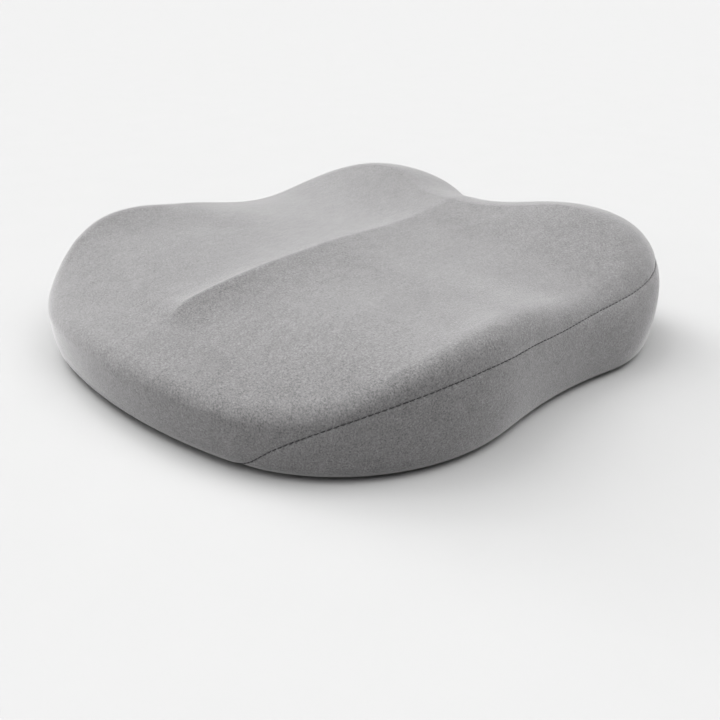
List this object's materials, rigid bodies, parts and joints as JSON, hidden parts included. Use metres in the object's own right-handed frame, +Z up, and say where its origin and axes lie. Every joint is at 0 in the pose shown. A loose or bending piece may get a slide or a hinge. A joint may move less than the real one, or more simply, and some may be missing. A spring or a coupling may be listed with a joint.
{
  "type": "seat cushion",
  "caption": "Contoured seat cushion with a central ridge, side lobes and a rear notch: foam core, knit liner and zipped velour cover with a grip base.",
  "frame": {"origin": "centre of the bounding box, on the surface that the cushion rests on", "axes": "+Z up, +Y towards the rear notch, -Y towards the front edge that rolls down under the thighs, X across the cushion"},
  "size_m": [0.4512, 0.4665, 0.1014],
  "materials": {
    "cover_velour": "matte short-nap velour, light grey, fine heathered grain",
    "grip_base": "matte charcoal base fabric with small raised silicone grip dots",
    "liner_knit": "matte off-white fine knit",
    "memory_foam": "matte cream open-cell memory foam",
    "sewing_thread": "satin grey polyester thread",
    "zip_tape": "matte charcoal woven polyester tape",
    "zip_coil": "semi-matte charcoal nylon monofilament",
    "zip_stop": "semi-matte charcoal moulded plastic",
    "slider_metal": "satin dark grey painted zinc"
  },
  "bodies": {
    "cushion": {"base_seam_thread": "sewing_thread", "cover_base_front": "grip_base", "cover_base_rear": "grip_base", "cover_side_band": "cover_velour", "cover_top_panel": "cover_velour", "foam_core": "memory_foam", "liner_base": "liner_knit", "liner_top": "liner_knit", "side_seam_thread": "sewing_thread", "zip_bartack_left": "sewing_thread", "zip_bartack_right": "sewing_thread", "zip_bottom_stop": "zip_stop", "zip_coil_front": "zip_coil", "zip_coil_rear": "zip_coil", "zip_end_seam_left": "sewing_thread", "zip_end_seam_right": "sewing_thread", "zip_tape_front": "zip_tape", "zip_tape_rear": "zip_tape", "zip_top_stop_front": "zip_stop", "zip_top_stop_rear": "zip_stop"},
    "slider": {"zip_slider": "slider_metal"},
    "pull": {"zip_pull": "slider_metal"}
  },
  "joints": [
    {"name": "zip_slide", "type": "slide", "parent": "cushion", "child": "slider", "axis": [-1, 0, 0], "range_m": [0, 0.263]},
    {"name": "pull_hinge", "type": "hinge", "parent": "slider", "child": "pull", "pos_m": [0.1317, 0.07, 0.0034], "axis": [0, -1, 0], "range_deg": [0, 180]}
  ]
}
